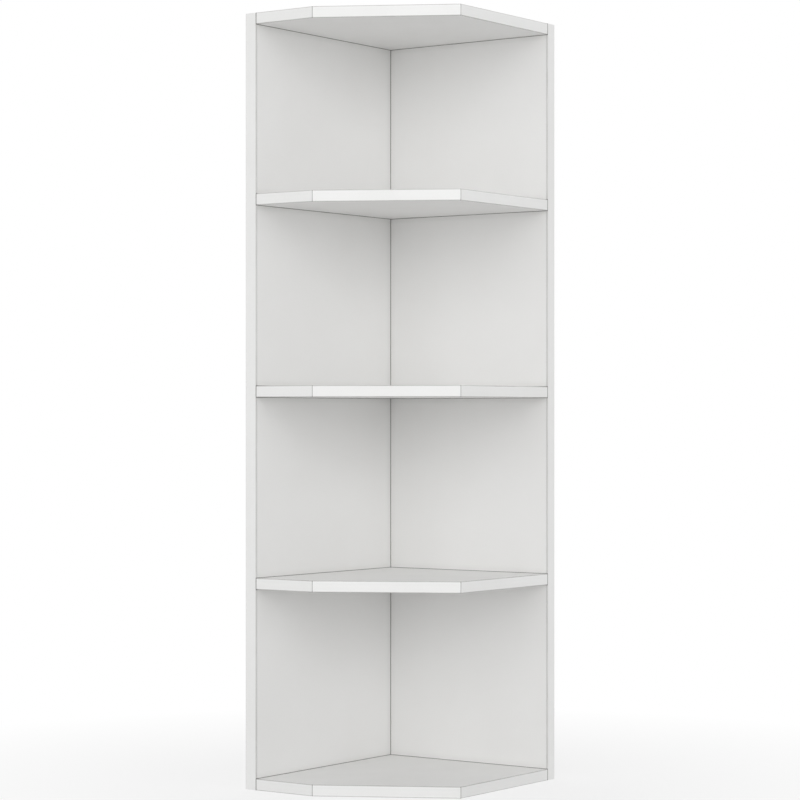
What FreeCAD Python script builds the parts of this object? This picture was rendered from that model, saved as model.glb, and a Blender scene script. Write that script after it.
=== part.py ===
import FreeCAD, Part
import math
import os

# Open shelf end unit for the right-hand end of a run of kitchen wall units.
#
# Two upright panels meet at a right angle. The side panel stands against the neighbouring unit and the back
# panel against the wall. Five boards with a clipped front corner fit between them: a top, three shelves and a
# bottom. Screws and dowels hold the boards, from the two faces that are hidden once the unit hangs, and two
# keyhole plates let into the back panel hang it on wall screws. Nothing moves.
#
# Millimetres. +Z is up, +X points to the open end and +Y to the wall. The origin is the centre of the base.

# Overall plan
WIDTH = 300.0
DEPTH = 345.0
FRONT_RUN = 100.0  # straight front of a board, from the side panel to the diagonal
END_RUN = 224.0  # straight end of a board, from the back panel to the diagonal

# Clear heights of the four bays
BOTTOM_BAY = 268.0
LOWER_BAY = 256.0
UPPER_BAY = 256.0
TOP_BAY = 240.0

# Board material and edgings
PANEL_THICKNESS = 19.0
BOARD_THICKNESS = 16.0
EDGING = 2.0  # thickness on the edges that face the room
EDGING_ROUND = 1.0
EDGING_ROUND_SHARE = 0.8  # the most of an edging's thickness that its rounding takes
END_EDGING = 1.0  # thickness on the panels' upper and lower ends

# Joint screws, 7 x 50, with a countersunk head and a hexagon socket
SCREW_LENGTH = 50.0
SCREW_HEAD = 10.0
SCREW_HEAD_RIM = 0.6
SCREW_SINK = 0.3  # the head lies this far below the panel's face
SCREW_SHANK = 7.0
SCREW_SHANK_LENGTH = 12.0
SCREW_CORE = 5.0
SCREW_PITCH = 3.0
SCREW_TIP = 4.0
SCREW_SOCKET = 4.0  # across flats
SCREW_SOCKET_DEPTH = 3.0
SCREW_CLEARANCE = 0.1  # between the screw and its hole in the panel, all round
SCREW_INSET = 50.0  # first and last screw of a joint, from the joint's ends

# Dowels, 8 x 30
DOWEL_DIAMETER = 8.0
DOWEL_LENGTH = 30.0
DOWEL_CHAMFER = 1.0
DOWEL_IN_PANEL = 12.0
DOWEL_CLEARANCE = 0.05
DOWEL_GLUE_ROOM = 1.0  # how much deeper than the dowel its hole is, at each end
DOWEL_STEP = 32.0  # from a screw to the dowel beside it
CORNER_DOWEL_STEP = 64.0  # the same along the corner where the panels meet

# Pilot holes for the screws that come from the neighbouring unit
PILOT_DIAMETER = 3.0
PILOT_DEPTH = 14.0
PILOT_INSET = 60.0  # from the panel's front and rear edges
PILOT_DROP = 100.0  # from the panel's upper and lower ends

# Keyhole plates
PLATE_LENGTH = 60.0
PLATE_WIDTH = 20.0
PLATE_THICKNESS = 2.0
PLATE_CLEARANCE = 0.2  # between the plate and its recess, all round
PLATE_INSET = 60.0  # plate's centre line, from the ends of the back panel
PLATE_DROP = 70.0  # plate's centre, from the unit's upper end
KEYHOLE_ENTRY = 12.0
KEYHOLE_SLOT = 6.0
KEYHOLE_RISE = 14.0  # from the entry's centre up to the seat's centre
KEYHOLE_SIDE_ROOM = 1.5  # free space round the entry in the panel behind the plate
KEYHOLE_DEPTH = 8.0  # free depth behind the plate, for the wall screw's head

# Countersunk screws of the keyhole plates, 4 x 15, with a cross recess
PLATE_SCREW_LENGTH = 15.0
PLATE_SCREW_HEAD = 8.0
PLATE_SCREW_THREAD = 4.0
PLATE_SCREW_CORE = 2.8
PLATE_SCREW_PITCH = 1.8
PLATE_SCREW_TIP = 3.0
PLATE_SCREW_CLEARANCE = 0.15
PLATE_SCREW_SPACING = 46.0
CROSS_WIDTH = 1.1
CROSS_LENGTH = 4.4
CROSS_DEPTH = 1.6

# Places that follow from the sizes above
LEFT = -WIDTH / 2
RIGHT = WIDTH / 2
FRONT = -DEPTH / 2
REAR = DEPTH / 2
INNER_X = LEFT + PANEL_THICKNESS
INNER_Y = REAR - PANEL_THICKNESS
CORNER_Y = (INNER_Y + REAR) / 2
BAYS = [BOTTOM_BAY, LOWER_BAY, UPPER_BAY, TOP_BAY]
BOARD_NAMES = ["bottom_board", "lower_shelf", "middle_shelf", "upper_shelf", "top_board"]
BOARD_LEVELS = [sum(BAYS[:i]) + i * BOARD_THICKNESS for i in range(len(BOARD_NAMES))]
BOARD_MIDDLES = [level + BOARD_THICKNESS / 2 for level in BOARD_LEVELS]
BAY_MIDDLES = [level - bay / 2 for level, bay in zip(BOARD_LEVELS[1:], BAYS)]
HEIGHT = BOARD_LEVELS[-1] + BOARD_THICKNESS
PLATE_Z = HEIGHT - PLATE_DROP
PLATE_X = {"left": INNER_X + PLATE_INSET, "right": RIGHT - PLATE_INSET}
KEYHOLE_ENTRY_Z = PLATE_Z - KEYHOLE_RISE / 2
KEYHOLE_SEAT_Z = PLATE_Z + KEYHOLE_RISE / 2

UP = FreeCAD.Vector(0, 0, 1)
INTO_SIDE_PANEL = FreeCAD.Vector(1, 0, 0)
INTO_BACK_PANEL = FreeCAD.Vector(0, -1, 0)


# Basic forms


def block(x, y, z):
    """Box between two values on each axis."""
    return Part.makeBox(x[1] - x[0], y[1] - y[0], z[1] - z[0], FreeCAD.Vector(x[0], y[0], z[0]))


def prism(outline, bottom, top):
    """Upright solid over a closed outline of (x, y) points."""
    corners = [FreeCAD.Vector(x, y, bottom) for x, y in outline]
    face = Part.Face(Part.makePolygon(corners + corners[:1]))
    return face.extrude(UP * (top - bottom))


def turned(profile):
    """Solid of revolution about Z, from (radius, height) points that start and end on the axis."""
    corners = [FreeCAD.Vector(radius, 0, height) for radius, height in profile]
    face = Part.Face(Part.makePolygon(corners + corners[:1]))
    return face.revolve(FreeCAD.Vector(0, 0, 0), UP, 360)


def rounded_bar(x, z_low, z_high, width, y):
    """Upright bar with half-round ends about two heights, centred on x, with faces at two values of y."""
    radius = width / 2
    depth = y[1] - y[0]
    along_y = FreeCAD.Vector(0, 1, 0)
    ends = [Part.makeCylinder(radius, depth, FreeCAD.Vector(x, y[0], z), along_y) for z in (z_low, z_high)]
    return block((x - radius, x + radius), y, (z_low, z_high)).fuse(ends).removeSplitter()


def placed(shape, position, direction):
    """Copy of a shape drawn along +Z from the origin, moved to a position and turned to a direction."""
    copy = shape.copy()
    copy.Placement = FreeCAD.Placement(position, FreeCAD.Rotation(UP, direction))
    return copy


def on_side_panel(shape, places):
    """Copies of a shape that goes into the side panel's outer face, at (y, z) places."""
    return [placed(shape, FreeCAD.Vector(LEFT, y, z), INTO_SIDE_PANEL) for y, z in places]


def on_back_panel(shape, places):
    """Copies of a shape that goes into the back panel's outer face, at (x, z) places."""
    return [placed(shape, FreeCAD.Vector(x, REAR, z), INTO_BACK_PANEL) for x, z in places]


# Where the fasteners sit


def joint_places(start, end):
    """Places along a joint, at every board: those of two screws, and those of two dowels between them."""
    screws = [start + SCREW_INSET, end - SCREW_INSET]
    dowels = [screws[0] + DOWEL_STEP, screws[1] - DOWEL_STEP]
    return [[(station, z) for z in BOARD_MIDDLES for station in stations] for stations in (screws, dowels)]


SIDE_SCREW_PLACES, SIDE_DOWEL_PLACES = joint_places(FRONT, INNER_Y)
BACK_SCREW_PLACES, BACK_DOWEL_PLACES = joint_places(INNER_X, RIGHT)
CORNER_SCREW_PLACES = [(CORNER_Y, z) for z in BAY_MIDDLES]
CORNER_DOWEL_PLACES = [(CORNER_Y, z - CORNER_DOWEL_STEP) for z in BAY_MIDDLES]
PILOT_COLUMNS = [FRONT + PILOT_INSET, REAR - PILOT_INSET]
PILOT_ROWS = [PILOT_DROP, HEIGHT - PILOT_DROP]
PILOT_PLACES = [(y, z) for y in PILOT_COLUMNS for z in PILOT_ROWS]
PLATE_SCREW_ROWS = [PLATE_Z - PLATE_SCREW_SPACING / 2, PLATE_Z + PLATE_SCREW_SPACING / 2]
PLATE_SCREW_PLACES = [(x, z) for x in PLATE_X.values() for z in PLATE_SCREW_ROWS]


# Fasteners and their holes, each drawn along +Z from the panel's outer face


def thread(start, end, core, crest, pitch):
    """Ridges of a thread between two heights, as (radius, height) points."""
    points = []
    for i in range(int((end - start) / pitch)):
        foot = start + i * pitch
        points += [(core, foot), (crest, foot + pitch / 2)]
    return points


def joint_screw():
    head = SCREW_HEAD / 2
    shank = SCREW_SHANK / 2
    core = SCREW_CORE / 2
    rim_end = SCREW_SINK + SCREW_HEAD_RIM
    thread_end = SCREW_LENGTH - SCREW_TIP
    profile = [(0, SCREW_SINK), (head, SCREW_SINK), (head, rim_end), (shank, rim_end + head - shank)]
    profile += [(shank, SCREW_SHANK_LENGTH)]
    profile += thread(SCREW_SHANK_LENGTH, thread_end, core, shank, SCREW_PITCH)
    profile += [(core, thread_end), (0, SCREW_LENGTH)]
    socket_radius = SCREW_SOCKET / math.sqrt(3)
    angles = [i * math.pi / 3 for i in range(6)]
    hexagon = [(socket_radius * math.cos(angle), socket_radius * math.sin(angle)) for angle in angles]
    return turned(profile).cut(prism(hexagon, SCREW_SINK, SCREW_SINK + SCREW_SOCKET_DEPTH))


def joint_screw_hole():
    """Countersunk clearance hole through a panel."""
    head = SCREW_HEAD / 2 + SCREW_CLEARANCE
    shank = SCREW_SHANK / 2 + SCREW_CLEARANCE
    rim_end = SCREW_SINK + SCREW_HEAD_RIM
    profile = [(0, 0), (head, 0), (head, rim_end), (shank, rim_end + head - shank)]
    profile += [(shank, PANEL_THICKNESS), (0, PANEL_THICKNESS)]
    return turned(profile)


def dowel():
    radius = DOWEL_DIAMETER / 2
    start = PANEL_THICKNESS - DOWEL_IN_PANEL
    end = start + DOWEL_LENGTH
    profile = [(0, start), (radius - DOWEL_CHAMFER, start), (radius, start + DOWEL_CHAMFER)]
    profile += [(radius, end - DOWEL_CHAMFER), (radius - DOWEL_CHAMFER, end), (0, end)]
    return turned(profile)


def dowel_hole():
    start = PANEL_THICKNESS - DOWEL_IN_PANEL - DOWEL_GLUE_ROOM
    length = DOWEL_LENGTH + 2 * DOWEL_GLUE_ROOM
    return Part.makeCylinder(DOWEL_DIAMETER / 2 + DOWEL_CLEARANCE, length, UP * start)


def pilot_hole():
    return Part.makeCylinder(PILOT_DIAMETER / 2, PILOT_DEPTH)


def plate_screw():
    head = PLATE_SCREW_HEAD / 2
    core = PLATE_SCREW_CORE / 2
    head_end = head - core
    thread_end = PLATE_SCREW_LENGTH - PLATE_SCREW_TIP
    profile = [(0, 0), (head, 0)]
    profile += thread(head_end, thread_end, core, PLATE_SCREW_THREAD / 2, PLATE_SCREW_PITCH)
    profile += [(core, thread_end), (0, PLATE_SCREW_LENGTH)]
    arm = (-CROSS_LENGTH / 2, CROSS_LENGTH / 2)
    gap = (-CROSS_WIDTH / 2, CROSS_WIDTH / 2)
    depth = (0, CROSS_DEPTH)
    return turned(profile).cut([block(arm, gap, depth), block(gap, arm, depth)])


def plate_screw_hole():
    """Countersunk clearance hole through a keyhole plate."""
    head = PLATE_SCREW_HEAD / 2 + PLATE_SCREW_CLEARANCE
    shank = PLATE_SCREW_THREAD / 2 + PLATE_SCREW_CLEARANCE
    end = PLATE_SCREW_LENGTH
    return turned([(0, 0), (head, 0), (shank, head - shank), (shank, end), (0, end)])


# Edgings


def near(a, b):
    return abs(a - b) < 1e-6


def rounded_edging(strip, places):
    """Edging whose edges are rounded where their middles, seen from above, lie at one of these (x, y) places."""
    chosen = []
    for edge in strip.Edges:
        middle = edge.CenterOfMass
        if any(near(middle.x, x) and near(middle.y, y) for x, y in places):
            chosen.append(edge)
    return strip.makeFillet(min(EDGING_ROUND, EDGING_ROUND_SHARE * EDGING), chosen)


# Boards

BOARD_SIDES = {
    "front": ("front", "front_corner"),
    "diagonal": ("front_corner", "end_corner"),
    "end": ("end_corner", "end"),
}


def board_outline(inset):
    """Corners of a board, with its three free sides moved in by an amount."""
    start = FreeCAD.Vector(INNER_X + FRONT_RUN, FRONT)
    end = FreeCAD.Vector(RIGHT, INNER_Y - END_RUN)
    along = (end - start).normalize()
    inner_start = start + FreeCAD.Vector(-along.y, along.x) * inset
    slope = along.y / along.x
    front = FRONT + inset
    side = RIGHT - inset
    return {
        "front": (INNER_X, front),
        "front_corner": (inner_start.x + (front - inner_start.y) / slope, front),
        "end_corner": (side, inner_start.y + (side - inner_start.x) * slope),
        "end": (side, INNER_Y),
        "wall_corner": (INNER_X, INNER_Y),
    }


def board_edging(level, shown, hidden):
    """Edging of a board, between the two corners of the side that shows and the two behind it."""
    strip = prism(shown + hidden[::-1], level, level + BOARD_THICKNESS)
    (x, y), (next_x, next_y) = shown
    return rounded_edging(strip, [((x + next_x) / 2, (y + next_y) / 2)])


def make_board(name, level, holes):
    """One board with its holes, and its three edgings, which meet in mitres at the clipped corner."""
    core = board_outline(EDGING)
    full = board_outline(0)
    pieces = {name: prism(list(core.values()), level, level + BOARD_THICKNESS).cut(holes)}
    for side, ends in BOARD_SIDES.items():
        shown = [full[corner] for corner in ends]
        hidden = [core[corner] for corner in ends]
        pieces[f"{name}_{side}_edging"] = board_edging(level, shown, hidden)
    return pieces


def make_boards(fasteners):
    holes = fasteners["side_joint_screws"] + fasteners["back_joint_screws"]
    holes += on_side_panel(dowel_hole(), SIDE_DOWEL_PLACES)
    holes += on_back_panel(dowel_hole(), BACK_DOWEL_PLACES)
    pieces = {}
    for name, level, middle in zip(BOARD_NAMES, BOARD_LEVELS, BOARD_MIDDLES):
        own_holes = [hole for hole in holes if near(hole.Placement.Base.z, middle)]
        pieces.update(make_board(name, level, own_holes))
    return pieces


# Panels

FULL_HEIGHT = (0, HEIGHT)
CORE_HEIGHT = (END_EDGING, HEIGHT - END_EDGING)
LOWER_END = (0, END_EDGING)
UPPER_END = (HEIGHT - END_EDGING, HEIGHT)


def make_side_panel():
    x = (LEFT, INNER_X)
    y = (FRONT + EDGING, REAR)
    holes = on_side_panel(joint_screw_hole(), SIDE_SCREW_PLACES + CORNER_SCREW_PLACES)
    holes += on_side_panel(dowel_hole(), SIDE_DOWEL_PLACES + CORNER_DOWEL_PLACES)
    holes += on_side_panel(pilot_hole(), PILOT_PLACES)
    front_strip = block(x, (FRONT, FRONT + EDGING), FULL_HEIGHT)
    return {
        "side_panel": block(x, y, CORE_HEIGHT).cut(holes),
        "side_panel_front_edging": rounded_edging(front_strip, [(LEFT, FRONT), (INNER_X, FRONT)]),
        "side_panel_top_edging": block(x, y, UPPER_END),
        "side_panel_bottom_edging": block(x, y, LOWER_END),
    }


def make_back_panel(fasteners):
    x = (INNER_X, RIGHT - EDGING)
    y = (INNER_Y, REAR)
    holes = on_back_panel(joint_screw_hole(), BACK_SCREW_PLACES)
    holes += on_back_panel(dowel_hole(), BACK_DOWEL_PLACES)
    holes += on_side_panel(dowel_hole(), CORNER_DOWEL_PLACES)
    holes += fasteners["corner_joint_screws"] + fasteners["hanger_plate_screws"]
    for plate_x in PLATE_X.values():
        holes += keyhole_recess(plate_x)
    end_strip = block((RIGHT - EDGING, RIGHT), y, FULL_HEIGHT)
    return {
        "back_panel": block(x, y, CORE_HEIGHT).cut(holes),
        "back_panel_end_edging": rounded_edging(end_strip, [(RIGHT, INNER_Y), (RIGHT, REAR)]),
        "back_panel_top_edging": block(x, y, UPPER_END),
        "back_panel_bottom_edging": block(x, y, LOWER_END),
    }


# Keyhole plates


def plate_blank(x, clearance):
    """The plate's outline with half-round ends, grown all round by a clearance."""
    reach = (PLATE_LENGTH - PLATE_WIDTH) / 2
    width = PLATE_WIDTH + 2 * clearance
    return rounded_bar(x, PLATE_Z - reach, PLATE_Z + reach, width, (REAR - PLATE_THICKNESS, REAR))


def keyhole_plate(x):
    through = (REAR - PLATE_THICKNESS, REAR)
    entry_centre = FreeCAD.Vector(x, REAR, KEYHOLE_ENTRY_Z)
    entry = Part.makeCylinder(KEYHOLE_ENTRY / 2, PLATE_THICKNESS, entry_centre, INTO_BACK_PANEL)
    slot = rounded_bar(x, KEYHOLE_ENTRY_Z, KEYHOLE_SEAT_Z, KEYHOLE_SLOT, through)
    screw_holes = on_back_panel(plate_screw_hole(), [(x, z) for z in PLATE_SCREW_ROWS])
    return plate_blank(x, 0).cut([entry, slot] + screw_holes)


def keyhole_recess(x):
    """What is milled out of the back panel for one plate and for the wall screw's head behind it."""
    width = KEYHOLE_ENTRY + 2 * KEYHOLE_SIDE_ROOM
    seat = REAR - PLATE_THICKNESS
    room = rounded_bar(x, KEYHOLE_ENTRY_Z, KEYHOLE_SEAT_Z, width, (seat - KEYHOLE_DEPTH, seat))
    return [plate_blank(x, PLATE_CLEARANCE), room]


# The whole unit


def make_fasteners():
    return {
        "side_joint_screws": on_side_panel(joint_screw(), SIDE_SCREW_PLACES),
        "back_joint_screws": on_back_panel(joint_screw(), BACK_SCREW_PLACES),
        "corner_joint_screws": on_side_panel(joint_screw(), CORNER_SCREW_PLACES),
        "side_joint_dowels": on_side_panel(dowel(), SIDE_DOWEL_PLACES),
        "back_joint_dowels": on_back_panel(dowel(), BACK_DOWEL_PLACES),
        "corner_joint_dowels": on_side_panel(dowel(), CORNER_DOWEL_PLACES),
        "hanger_plate_screws": on_back_panel(plate_screw(), PLATE_SCREW_PLACES),
    }


def make_unit():
    fasteners = make_fasteners()
    pieces = {name: Part.makeCompound(solids) for name, solids in fasteners.items()}
    pieces.update(make_side_panel())
    pieces.update(make_back_panel(fasteners))
    pieces.update(make_boards(fasteners))
    for side, x in PLATE_X.items():
        pieces[side + "_hanger_plate"] = keyhole_plate(x)
    return pieces


os.makedirs("parts", exist_ok=True)
for node, shape in make_unit().items():
    shape.exportStep(os.path.join("parts", node + ".step"))
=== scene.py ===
"""Looks of the open shelf end unit: finishes for its solids, a pale floor, soft light and the camera."""

import math

import bpy
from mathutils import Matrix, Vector


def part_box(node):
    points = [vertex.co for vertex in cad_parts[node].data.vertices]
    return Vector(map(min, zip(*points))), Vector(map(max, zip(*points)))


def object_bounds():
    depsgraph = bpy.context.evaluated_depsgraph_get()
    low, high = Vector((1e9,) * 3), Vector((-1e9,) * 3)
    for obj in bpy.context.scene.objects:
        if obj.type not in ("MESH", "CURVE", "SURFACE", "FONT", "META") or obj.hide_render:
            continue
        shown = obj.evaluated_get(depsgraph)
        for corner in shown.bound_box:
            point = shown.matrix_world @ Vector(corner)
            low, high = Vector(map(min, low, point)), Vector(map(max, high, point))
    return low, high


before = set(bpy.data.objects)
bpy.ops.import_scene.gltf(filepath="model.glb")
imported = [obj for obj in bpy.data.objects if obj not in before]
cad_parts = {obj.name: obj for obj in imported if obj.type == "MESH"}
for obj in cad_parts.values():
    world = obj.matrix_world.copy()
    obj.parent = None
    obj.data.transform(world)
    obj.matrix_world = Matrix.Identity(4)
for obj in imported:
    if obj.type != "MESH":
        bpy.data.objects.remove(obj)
cad_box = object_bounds()

MM = 0.001
UP = Vector((0, 0, 1))
WHITE = (1, 1, 1, 1)

# Places read from the frame, in metres
LEFT, FRONT = cad_box[0].xy
RIGHT, REAR, HEIGHT = cad_box[1]
INNER_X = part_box("side_panel")[1].x
INNER_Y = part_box("back_panel")[0].y
FRONT_SEAM_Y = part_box("side_panel")[0].y
END_SEAM_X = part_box("back_panel")[1].x
EDGING = FRONT_SEAM_Y - FRONT
PANEL_HALF = (INNER_X - LEFT) / 2
SIDE_MIDDLE = LEFT + PANEL_HALF
BACK_MIDDLE = REAR - PANEL_HALF
BOARDS = ["bottom_board", "lower_shelf", "middle_shelf", "upper_shelf", "top_board"]
BOARD_HALF = (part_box(BOARDS[0])[1].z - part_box(BOARDS[0])[0].z) / 2
BOARD_MIDDLES = [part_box(board)[0].z + BOARD_HALF for board in BOARDS]

# The clipped corner: where the diagonal starts on the front and ends on the free end
CLIP_START = Vector((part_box(BOARDS[0] + "_front_edging")[1].x, FRONT, 0))
CLIP_END = Vector((RIGHT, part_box(BOARDS[0] + "_end_edging")[0].y, 0))
CLIP_INWARD = UP.cross(CLIP_END - CLIP_START).normalized()
FRONT_INWARD = Vector((0, 1, 0))
END_INWARD = Vector((-1, 0, 0))

# Camera, at the drawing's own viewpoint
VIEW_AZIMUTH = math.radians(35.54)
VIEW_DISTANCE = 3.9551  # from the eye to the unit's inner corner, along the line of sight
VIEW_SIDESTEP = 0.0141  # how far the eye is to the right of that corner
EYE_HEIGHT = 0.5294
LENS = 117.39  # millimetres, on the default sensor
SHIFT_Y = 0.0200

# Lines where pieces meet: width to each side, and darkness
# The joint line is painted shade, as of a hairline gap where the pieces meet
JOINT_SHADE_LINE = (0.7 * MM, 1.0)  # where a board or a panel meets a panel
MITRE_LINE = (0.5 * MM, 0.85)  # between two edgings
SEAM_LINE = (0.35 * MM, 0.7)  # glue line behind an edging
LINE_CORE = 0.4  # share of a line's width that has its full darkness
# Near-black of the glue lines at seams and mitres, and of the painted shade along the joints
GLUE_AND_SHADE_GREY = (0.04, 0.038, 0.034, 1)
GROOVE = 0.15 * MM  # how deep a full line is

# Where the values of one noise, and of the mean of two, mostly lie
NOISE_SPREAD = (0.3, 0.7)
TONE_SPREAD = (0.38, 0.62)

# Melamine. All colours are linear
BOARD_WHITE = (0.855, 0.853, 0.845, 1)
BOARD_SHADE = (0.825, 0.822, 0.812, 1)
BOARD_CLOUD = 160 * MM  # broad drift in the white
SMUDGE = 35 * MM  # marks of hands and cloths
PEARL = 1.2 * MM  # fine satin texture
PEARL_RELIEF = 0.06 * MM
MELAMINE_ROUGHNESS = (0.46, 0.6)
# Grey that darkens the white in patches near the joints and inner corners
CORNER_GREY = (0.62, 0.61, 0.585, 1)
CORNER_GREY_REACH = 9 * MM  # how far the darkening reaches out of an inner corner
CORNER_GREY_COVER = 0.35  # the most of the white that the darkening hides
PAPER = (0.25 * MM, 0.5 * MM)  # depths over which the melamine ends at a raw edge

# Raw chipboard
CHIP_COLOURS = [
    (0.0, (0.26, 0.165, 0.09)),
    (0.35, (0.44, 0.305, 0.175)),
    (0.7, (0.57, 0.42, 0.26)),
    (1.0, (0.72, 0.58, 0.41)),
]
CHIP_THICK = 1.1 * MM
CHIP_WIDE = 5 * MM
CHIP_LONG = 6 * MM
CHIP_BUMPS = 1.6  # bumps in a chip's ragged outline, along each axis
CHIP_STRAY = (1.4, 1.4, 1.4)  # how far that outline strays, in chips
CHIP_TINT = 0.65  # share of a chip's own shade in its look, with its fibres as the rest
FIBRES = 2.5  # fibres across a chip
CRUMB = 0.5 * MM  # fine chips near the faces
SURFACE_LAYER = (2.1 * MM, 3.5 * MM)  # depths over which fine chips give way to coarse ones
CHIP_ROUGHNESS = 0.9
CHIP_RELIEF = 0.3 * MM
CHIP_FALL = 0.12 * MM  # from a chip's middle outwards

# Plastic edging
EDGING_WHITE = (0.865, 0.867, 0.86, 1)
EDGING_SHADE = (0.83, 0.83, 0.82, 1)
EDGING_CLOUD = 120 * MM
EDGING_GRAIN = 0.7 * MM
EDGING_GRAIN_RELIEF = 0.015 * MM
EDGING_ROUGHNESS = (0.4, 0.52)
UPRIGHT_MARKS = (1.1 * MM, 1.1 * MM, 80 * MM)  # of the scraper, along a panel's edging
LEVEL_MARKS = (70 * MM, 70 * MM, 1.1 * MM)  # and along a board's
MARK_RELIEF = 0.03 * MM
# Dark grey of worn grime, which also paints shade that outlines each rounded edge
WEAR_AND_EDGE_SHADE = (0.30, 0.29, 0.27, 1)
WEAR_AND_EDGE_SHADE_REACH = (0.44 * MM, 1.1 * MM)  # distances from a rounded edge over which its wear and painted shade end
WEAR_AND_EDGE_SHADE_COVER = (0.5, 0.8)  # least and most of the white that wear and painted shade hide at the edge
WEAR_ROUGHNESS = 0.25  # what full wear adds
HANDLING = 50 * MM  # stretches of more and of less wear

# Zinc-plated steel
ZINC = (0.68, 0.69, 0.71, 1)
ZINC_SHADE = (0.47, 0.49, 0.53, 1)
ZINC_MOTTLE = 2.4 * MM
ZINC_SCRATCHES = (0.25 * MM, 0.25 * MM, 8 * MM)
ZINC_RELIEF = 0.015 * MM  # of the mottle and of the scratches
ZINC_ROUGHNESS = (0.26, 0.42)

# Beech
BEECH = (0.62, 0.42, 0.25, 1)
BEECH_SHADE = (0.45, 0.27, 0.14, 1)
BEECH_GRAIN = (3 * MM, 3 * MM, 0.6 * MM)
BEECH_FLECKS = (2 * MM, 2 * MM, 0.35 * MM)
BEECH_FLECK_SHARE = 0.3
BEECH_SPREAD = (0.35, 0.65)
BEECH_RELIEF = 0.1 * MM
BEECH_ROUGHNESS = 0.6

# Light: at a level of 1 a white surface shows as white
AMBIENT = 0.6
LAMPS = {
    "key": dict(azimuth=16, elevation=16, distance=7.0, width=10.0, height=4.4, level=0.38),
    "fill": dict(azimuth=80, elevation=15, distance=6.0, width=4.0, height=3.0, level=0.16),
    "rear": dict(azimuth=-130, elevation=25, distance=6.0, width=7.0, height=4.5, level=0.28),
}

# Floor
FLOOR_SIZE = 30.0
FLOOR_DROP = 0.3 * MM  # keeps the floor off the unit's underside
FLOOR_CLEAR = 10 * FLOOR_DROP  # light that starts this close passes through, such as the underside's
FLOOR_GREY = (0.8, 0.8, 0.8, 1)
FLOOR_SHADING = 0.3  # share of the floor's look that takes light and shadow
SHADING_REACH = (0.3, 1.0)  # metres from the unit's middle over which the floor goes to plain white


class Finish:
    """A material's node tree, with short ways to add the nodes used here."""

    def __init__(self, name):
        self.material = bpy.data.materials.new(name)
        self.material.use_nodes = True
        self.tree = self.material.node_tree
        self.shader = self.tree.nodes["Principled BSDF"]
        self.output = self.tree.nodes["Material Output"]
        self.place = self.add("ShaderNodeTexCoord").outputs["Object"]
        self.x, self.y, self.z = self.add("ShaderNodeSeparateXYZ", Vector=self.place).outputs

    def add(self, kind, settings=None, **inputs):
        """A new node, with its settings and with values or links for its inputs."""
        node = self.tree.nodes.new(kind)
        for key, value in (settings or {}).items():
            setattr(node, key, value)
        for key, value in inputs.items():
            self.put(node.inputs[key.replace("_", " ")], value)
        return node

    def put(self, socket, value):
        """Link an output to a socket, or set the socket's own value."""
        if isinstance(value, bpy.types.NodeSocket):
            self.tree.links.new(value, socket)
        else:
            socket.default_value = value

    def put_all(self, sockets, values):
        for socket, value in zip(sockets, values):
            self.put(socket, value)

    def operate(self, kind, operation, values):
        node = self.add(kind, {"operation": operation})
        self.put_all(node.inputs, values)
        return node.outputs

    def math(self, operation, *values):
        return self.operate("ShaderNodeMath", operation, values)["Value"]

    def vector_math(self, operation, *values):
        """The outputs of a vector operation, which are a Vector and a Value."""
        return self.operate("ShaderNodeVectorMath", operation, values)

    def fold(self, operation, values):
        """One value from several, such as the greatest of them."""
        result = values[0]
        for value in values[1:]:
            result = self.math(operation, result, value)
        return result

    def least(self, *values):
        return self.fold("MINIMUM", values)

    def total(self, *weighted):
        """Sum of (value, weight) pairs."""
        result = 0.0
        for value, weight in weighted:
            result = self.math("MULTIPLY_ADD", value, weight, result)
        return result

    def mean(self, *values):
        return self.total(*((value, 1 / len(values)) for value in values))

    def fade(self, value, spread, results=(0, 1)):
        """A value that goes from the first result to the second as the input goes over a spread."""
        limits = zip(("From_Min", "From_Max", "To_Min", "To_Max"), (*spread, *results))
        return self.add("ShaderNodeMapRange", Value=value, **dict(limits)).outputs[0]

    def grains(self, *size):
        """The place, counted in grains of a size: one for all axes, or one for each."""
        x, y, z = size if len(size) == 3 else size * 3
        return self.vector_math("MULTIPLY", self.place, (1 / x, 1 / y, 1 / z))["Vector"]

    def noise(self, *size, detail=2.0):
        """Noise with blotches of about a size, given as in grains."""
        grains = self.grains(*size)
        return self.add("ShaderNodeTexNoise", Vector=grains, Scale=1.0, Detail=detail).outputs[0]

    def mix(self, factor, first, second):
        """A colour that goes from the first to the second as the factor goes from 0 to 1."""
        return self.mixed("RGBA", (factor, first, second))

    def blend(self, factor, first, second):
        """A number that goes from the first to the second as the factor goes from 0 to 1."""
        return self.mixed("FLOAT", (factor, first, second))

    def mixed(self, kind, values):
        node = self.add("ShaderNodeMix", {"data_type": kind})
        self.put_all((socket for socket in node.inputs if socket.enabled), values)
        return next(socket for socket in node.outputs if socket.enabled)

    def mix_shaders(self, factor, first, second):
        node = self.add("ShaderNodeMixShader")
        self.put_all(node.inputs, (factor, first, second))
        return node.outputs[0]

    def ramp(self, factor, stops):
        """A colour from a row of positions with their colours."""
        node = self.add("ShaderNodeValToRGB", Fac=factor)
        elements = node.color_ramp.elements
        while len(elements) < len(stops):
            elements.new(1.0)
        for element, (position, colour) in zip(elements, stops):
            element.position = position
            element.color = (*colour, 1)
        return node.outputs[0]

    def close(self, colour, roughness, height, **others):
        """Put the last values on the shader, with the height, in metres, as relief."""
        relief = self.add("ShaderNodeBump", Height=height, Distance=1.0).outputs[0]
        for key, value in dict(others, Base_Color=colour, Roughness=roughness, Normal=relief).items():
            self.put(self.shader.inputs[key.replace("_", " ")], value)
        return self.material


# Distances from a point of a surface to faces and joints of the unit


def gap(finish, coordinate, place):
    """Distance along an axis to a place on it."""
    return finish.math("ABSOLUTE", finish.math("SUBTRACT", coordinate, place))


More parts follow.
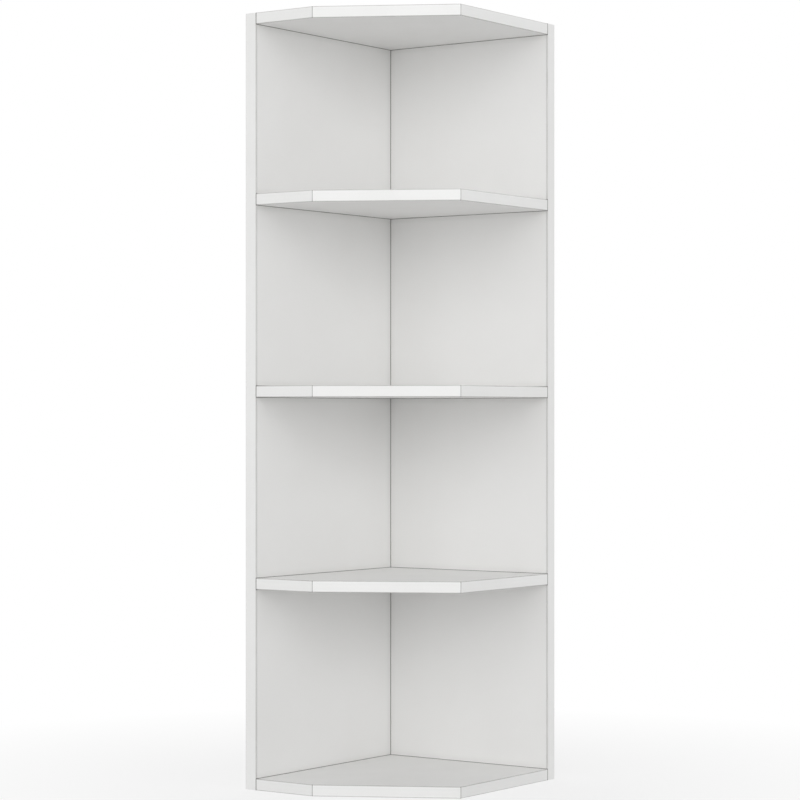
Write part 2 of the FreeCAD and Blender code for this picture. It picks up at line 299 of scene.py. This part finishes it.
def slab_gap(finish, coordinate, middle, half):
    """Distance to the nearer face of a slab that lies across an axis."""
    return gap(finish, gap(finish, coordinate, middle), half)


def plane_gap(finish, point, across):
    """Distance to an upright plane through a point, across a direction."""
    along_normal = finish.vector_math("DOT_PRODUCT", finish.place, across)["Value"]
    return gap(finish, along_normal, point.dot(across))


def side_panel_gap(finish):
    """Distance to the nearer face of the side panel."""
    return slab_gap(finish, finish.x, SIDE_MIDDLE, PANEL_HALF)


def back_panel_gap(finish):
    """Distance to the nearer face of the back panel."""
    return slab_gap(finish, finish.y, BACK_MIDDLE, PANEL_HALF)


def board_gap(finish):
    """Distance to the nearest upper or lower face of a board."""
    return finish.least(*(slab_gap(finish, finish.z, middle, BOARD_HALF) for middle in BOARD_MIDDLES))


def inner_gap(finish):
    """Distance to the inner face of either panel, which is where boards end."""
    return finish.least(gap(finish, finish.x, INNER_X), gap(finish, finish.y, INNER_Y))


def room_gap(finish):
    """Distance to the unit's front or free end, whichever is nearer."""
    return finish.least(gap(finish, finish.y, FRONT), gap(finish, finish.x, RIGHT))


def seam_gap(finish):
    """Distance to the planes behind the edgings of the front and the free end."""
    return finish.least(gap(finish, finish.y, FRONT_SEAM_Y), gap(finish, finish.x, END_SEAM_X))


def clip_gap(finish, depth):
    """Distance to the plane at a depth behind the diagonal face."""
    return plane_gap(finish, CLIP_START + CLIP_INWARD * depth, CLIP_INWARD)


def mitre_gap(finish):
    """Distance to the planes where two edgings of a board meet."""
    corners = [(CLIP_START, CLIP_INWARD + FRONT_INWARD), (CLIP_END, CLIP_INWARD + END_INWARD)]
    planes = [(corner, inward.cross(UP).normalized()) for corner, inward in corners]
    return finish.least(*(plane_gap(finish, corner, across) for corner, across in planes))


def lines(finish, *drawn):
    """Dark lines, from pairs of a distance and the line's width and darkness."""
    shades = []
    for distance, (width, darkness) in drawn:
        shades.append(finish.fade(distance, (LINE_CORE * width, width), (darkness, 0)))
    return finish.fold("MAXIMUM", shades)


# Finishes


def chipboard(finish, faces, chip):
    """Colour and height of raw chipboard: coarse chips in the core and fine ones near the two faces."""
    place = finish.grains(*chip)
    ragged = finish.add("ShaderNodeTexNoise", Vector=place, Scale=CHIP_BUMPS, Detail=3.0).outputs["Color"]
    outline = finish.vector_math("MULTIPLY_ADD", ragged, CHIP_STRAY, place)["Vector"]
    coarse = finish.add("ShaderNodeTexVoronoi", Vector=outline, Scale=1.0).outputs
    shade = finish.add("ShaderNodeSeparateColor", Color=coarse["Color"]).outputs[0]
    fibre = finish.noise(*(size / FIBRES for size in chip), detail=3.0)
    crumb = finish.noise(CRUMB, detail=3.0)
    core = finish.blend(CHIP_TINT, fibre, shade)
    skin = finish.mean(fibre, crumb)
    tone = finish.blend(finish.fade(faces, SURFACE_LAYER), skin, core)
    height = finish.total((tone, CHIP_RELIEF), (coarse["Distance"], -CHIP_FALL))
    return finish.ramp(tone, CHIP_COLOURS), height


def melamine(finish, faces, joints, seams, chip):
    """White melamine on chipboard, from the distances to its two faces, its joints and its edgings' seams."""
    raw = finish.fade(faces, PAPER)
    # Painted shade along the joints, and glue lines behind the edgings
    line = lines(finish, (joints, JOINT_SHADE_LINE), (seams, SEAM_LINE))
    cloud = finish.noise(BOARD_CLOUD, detail=4.0)
    smudge = finish.noise(SMUDGE, detail=3.0)
    pearl = finish.noise(PEARL)
    # Darker in patches near the joints and inner corners
    corner_grey = finish.math("MULTIPLY", finish.fade(joints, (0, CORNER_GREY_REACH), (CORNER_GREY_COVER, 0)), smudge)
    tone = finish.fade(finish.mean(cloud, pearl), TONE_SPREAD)
    colour = finish.mix(tone, BOARD_WHITE, BOARD_SHADE)
    colour = finish.mix(corner_grey, colour, CORNER_GREY)
    colour = finish.mix(line, colour, GLUE_AND_SHADE_GREY)
    chip_colour, chip_height = chipboard(finish, faces, chip)
    colour = finish.mix(raw, colour, chip_colour)
    satin = finish.fade(smudge, NOISE_SPREAD, MELAMINE_ROUGHNESS)
    roughness = finish.blend(raw, satin, CHIP_ROUGHNESS)
    face_height = finish.total((pearl, PEARL_RELIEF), (line, -GROOVE))
    return finish.close(colour, roughness, finish.blend(raw, face_height, chip_height))


def side_panel_melamine():
    finish = Finish("side_panel_melamine")
    outside = finish.math("LESS_THAN", finish.x, SIDE_MIDDLE)
    at_boards_and_back = finish.least(board_gap(finish), gap(finish, finish.y, INNER_Y))
    joints = finish.math("ADD", at_boards_and_back, outside)  # a metre away on the outer half
    seams = gap(finish, finish.y, FRONT_SEAM_Y)
    chip = (CHIP_THICK, CHIP_WIDE, CHIP_LONG)
    return melamine(finish, side_panel_gap(finish), joints, seams, chip)


def back_panel_melamine():
    finish = Finish("back_panel_melamine")
    outside = finish.math("GREATER_THAN", finish.y, BACK_MIDDLE)
    at_boards = finish.math("ADD", board_gap(finish), outside)  # a metre away on the outer half
    joints = finish.least(at_boards, gap(finish, finish.x, INNER_X))
    seams = gap(finish, finish.x, END_SEAM_X)
    chip = (CHIP_WIDE, CHIP_THICK, CHIP_LONG)
    return melamine(finish, back_panel_gap(finish), joints, seams, chip)


def board_melamine():
    finish = Finish("board_melamine")
    seams = finish.least(seam_gap(finish), clip_gap(finish, EDGING))
    chip = (CHIP_WIDE, CHIP_LONG, CHIP_THICK)
    return melamine(finish, board_gap(finish), inner_gap(finish), seams, chip)


def plastic_edging(finish, line, faces, outer_face, scraper):
    """White plastic edging with a scraper's fine marks, worn along its rounded edges, where painted shade
    also outlines them.

    Those are where one of its two faces, given as distances, meets its outer face.
    """
    cloud = finish.noise(EDGING_CLOUD, detail=3.0)
    handling = finish.noise(HANDLING, detail=3.0)
    marks = finish.noise(*scraper)
    grain = finish.noise(EDGING_GRAIN, detail=1.0)
    # Wear along the rounded edges, dark enough to be a painted shade that outlines each edge
    at_edge = finish.fade(finish.math("MAXIMUM", faces, outer_face), WEAR_AND_EDGE_SHADE_REACH, (1, 0))
    worn_and_edge_shaded = finish.math("MULTIPLY", at_edge, finish.fade(handling, NOISE_SPREAD, WEAR_AND_EDGE_SHADE_COVER))
    tone = finish.fade(finish.mean(cloud, grain), TONE_SPREAD)
    colour = finish.mix(tone, EDGING_WHITE, EDGING_SHADE)
    colour = finish.mix(worn_and_edge_shaded, colour, WEAR_AND_EDGE_SHADE)
    colour = finish.mix(line, colour, GLUE_AND_SHADE_GREY)
    satin = finish.fade(marks, NOISE_SPREAD, EDGING_ROUGHNESS)
    roughness = finish.math("MULTIPLY_ADD", worn_and_edge_shaded, WEAR_ROUGHNESS, satin)
    height = finish.total((marks, MARK_RELIEF), (grain, EDGING_GRAIN_RELIEF), (line, -GROOVE))
    return finish.close(colour, roughness, height)


def panel_edging():
    finish = Finish("panel_edging")
    on_side_panel = finish.math("LESS_THAN", finish.x, INNER_X)  # puts the back panel a metre away
    at_back_panel = finish.math("ADD", gap(finish, finish.y, INNER_Y), on_side_panel)
    at_panels = finish.least(gap(finish, finish.x, INNER_X), at_back_panel)
    to_middle = finish.least(*(gap(finish, finish.z, middle) for middle in BOARD_MIDDLES))
    beyond_board = finish.math("SUBTRACT", to_middle, BOARD_HALF)
    joints = finish.math("MAXIMUM", at_panels, beyond_board)
    # Painted shade in the groove where a board's edging meets the panel's edging, and the glue line behind
    # the edging
    line = lines(finish, (joints, JOINT_SHADE_LINE), (seam_gap(finish), SEAM_LINE))
    back_faces = finish.math("ADD", back_panel_gap(finish), on_side_panel)
    faces = finish.least(side_panel_gap(finish), back_faces)
    ends = slab_gap(finish, finish.z, HEIGHT / 2, HEIGHT / 2)
    outer_face = finish.least(room_gap(finish), ends)
    return plastic_edging(finish, line, faces, outer_face, UPRIGHT_MARKS)


def board_edging():
    finish = Finish("board_edging")
    # Painted shade where the edging meets a panel, and glue lines at the mitres and seams
    drawn = [(inner_gap(finish), JOINT_SHADE_LINE), (mitre_gap(finish), MITRE_LINE), (seam_gap(finish), SEAM_LINE)]
    return plastic_edging(finish, lines(finish, *drawn), board_gap(finish), room_gap(finish), LEVEL_MARKS)


def diagonal_edging():
    finish = Finish("diagonal_edging")
    line = lines(finish, (mitre_gap(finish), MITRE_LINE), (clip_gap(finish, EDGING), SEAM_LINE))
    return plastic_edging(finish, line, board_gap(finish), clip_gap(finish, 0), LEVEL_MARKS)


def zinc_steel():
    """Zinc-plated steel: a soft mottled plating with fine scratches."""
    finish = Finish("zinc_steel")
    mottle = finish.noise(ZINC_MOTTLE, detail=4.0)
    scratches = finish.noise(*ZINC_SCRATCHES)
    colour = finish.mix(finish.fade(mottle, NOISE_SPREAD), ZINC, ZINC_SHADE)
    roughness = finish.fade(scratches, NOISE_SPREAD, ZINC_ROUGHNESS)
    height = finish.total((mottle, ZINC_RELIEF), (scratches, ZINC_RELIEF))
    return finish.close(colour, roughness, height, Metallic=1.0)


def beech():
    """Plain beech with short dark flecks."""
    finish = Finish("beech")
    grain = finish.noise(*BEECH_GRAIN, detail=4.0)
    flecks = finish.noise(*BEECH_FLECKS, detail=1.0)
    tone = finish.blend(BEECH_FLECK_SHARE, grain, flecks)
    colour = finish.mix(finish.fade(tone, BEECH_SPREAD), BEECH, BEECH_SHADE)
    return finish.close(colour, BEECH_ROUGHNESS, finish.math("MULTIPLY", tone, BEECH_RELIEF))


def finish_name(node):
    """Name of the finish that a piece of the unit takes."""
    if node in BOARDS:
        return "board"
    if node.endswith("diagonal_edging"):
        return "diagonal_edging"
    if node.endswith("edging"):
        return "panel_edging" if "_panel_" in node else "board_edging"
    if node.endswith("dowels"):
        return "beech"
    if node.endswith(("screws", "plate")):
        return "zinc_steel"
    return node


def dress():
    """Give every piece of the unit its finish."""
    finishes = {
        "side_panel": side_panel_melamine(),
        "back_panel": back_panel_melamine(),
        "board": board_melamine(),
        "panel_edging": panel_edging(),
        "board_edging": board_edging(),
        "diagonal_edging": diagonal_edging(),
        "zinc_steel": zinc_steel(),
        "beech": beech(),
    }
    for node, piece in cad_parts.items():
        piece.data.materials.clear()
        piece.data.materials.append(finishes[finish_name(node)])


# Stage


def seen_directly(tree):
    """1 for rays that see the stage straight or mirrored, 0 for those that gather light from it."""
    path = tree.nodes.new("ShaderNodeLightPath")
    seen = path.outputs["Is Camera Ray"]
    for ray in ("Is Glossy Ray", "Is Transmission Ray"):
        either = tree.nodes.new("ShaderNodeMath")
        either.operation = "MAXIMUM"
        tree.links.new(seen, either.inputs[0])
        tree.links.new(path.outputs[ray], either.inputs[1])
        seen = either.outputs[0]
    return seen


def make_world():
    """A white backdrop that lights the unit evenly, at the ambient level."""
    world = bpy.data.worlds.new("studio")
    world.use_nodes = True
    tree = world.node_tree
    background = tree.nodes["Background"]
    background.inputs["Color"].default_value = WHITE
    level = tree.nodes.new("ShaderNodeMapRange")
    level.inputs["To Min"].default_value = AMBIENT
    tree.links.new(seen_directly(tree), level.inputs["Value"])
    tree.links.new(level.outputs[0], background.inputs["Strength"])
    bpy.context.scene.world = world


def pale_floor():
    """Floor that shows white, with the unit's soft shadow.

    It is clear from below and to light from the unit's underside, so that the underside can be looked at.
    """
    finish = Finish("pale_floor")
    finish.tree.nodes.remove(finish.shader)
    shaded = finish.add("ShaderNodeBsdfDiffuse", Color=FLOOR_GREY).outputs[0]
    white = finish.add("ShaderNodeEmission", Color=WHITE).outputs[0]
    clear = finish.add("ShaderNodeBsdfTransparent").outputs[0]
    from_middle = finish.vector_math("LENGTH", finish.place)["Value"]
    shading = finish.fade(from_middle, SHADING_REACH, (FLOOR_SHADING, 0))
    seen = finish.mix_shaders(shading, white, shaded)
    from_above = finish.mix_shaders(seen_directly(finish.tree), shaded, seen)
    below = finish.add("ShaderNodeNewGeometry").outputs["Backfacing"]
    ray_length = finish.add("ShaderNodeLightPath").outputs["Ray Length"]
    under_unit = finish.math("LESS_THAN", ray_length, FLOOR_CLEAR)
    surface = finish.mix_shaders(finish.math("MAXIMUM", below, under_unit), from_above, clear)
    finish.put(finish.output.inputs["Surface"], surface)
    return finish.material


def make_floor():
    bpy.ops.mesh.primitive_plane_add(size=FLOOR_SIZE, location=(0, 0, -FLOOR_DROP))
    floor = bpy.context.object
    floor.name = "floor"
    floor.data.materials.append(pale_floor())


def softbox(name, azimuth, elevation, distance, width, height, level):
    """Wide lamp aimed at the unit's middle from an azimuth and an elevation in degrees.

    The level is about what the lamp alone adds to a white surface that faces it.
    """
    turn = math.radians(azimuth)
    rise = math.radians(elevation)
    reach = math.cos(rise)
    outward = Vector((math.sin(turn) * reach, -math.cos(turn) * reach, math.sin(rise)))
    lamp = bpy.data.lights.new(name, "AREA")
    lamp.shape = "RECTANGLE"
    lamp.size = width
    lamp.size_y = height
    lamp.energy = level * (math.pi * distance) ** 2
    holder = bpy.data.objects.new(name, lamp)
    holder.location = Vector((0, 0, HEIGHT / 2)) + outward * distance
    holder.rotation_euler = outward.to_track_quat("Z", "Y").to_euler()
    bpy.context.scene.collection.objects.link(holder)


def make_lights():
    for name, values in LAMPS.items():
        softbox(name, **values)


def make_camera():
    camera = bpy.data.cameras.new("camera")
    camera.lens = LENS
    camera.shift_y = SHIFT_Y
    right = Vector((math.cos(VIEW_AZIMUTH), math.sin(VIEW_AZIMUTH), 0))
    outward = Vector((math.sin(VIEW_AZIMUTH), -math.cos(VIEW_AZIMUTH), 0))
    corner = Vector((INNER_X, INNER_Y, EYE_HEIGHT))
    holder = bpy.data.objects.new("camera", camera)
    holder.location = corner + outward * VIEW_DISTANCE + right * VIEW_SIDESTEP
    holder.rotation_euler = (math.pi / 2, 0, VIEW_AZIMUTH)
    bpy.context.scene.collection.objects.link(holder)
    bpy.context.scene.camera = holder


dress()
make_world()
make_floor()
make_lights()
make_camera()
bpy.context.scene.view_settings.view_transform = "Standard"
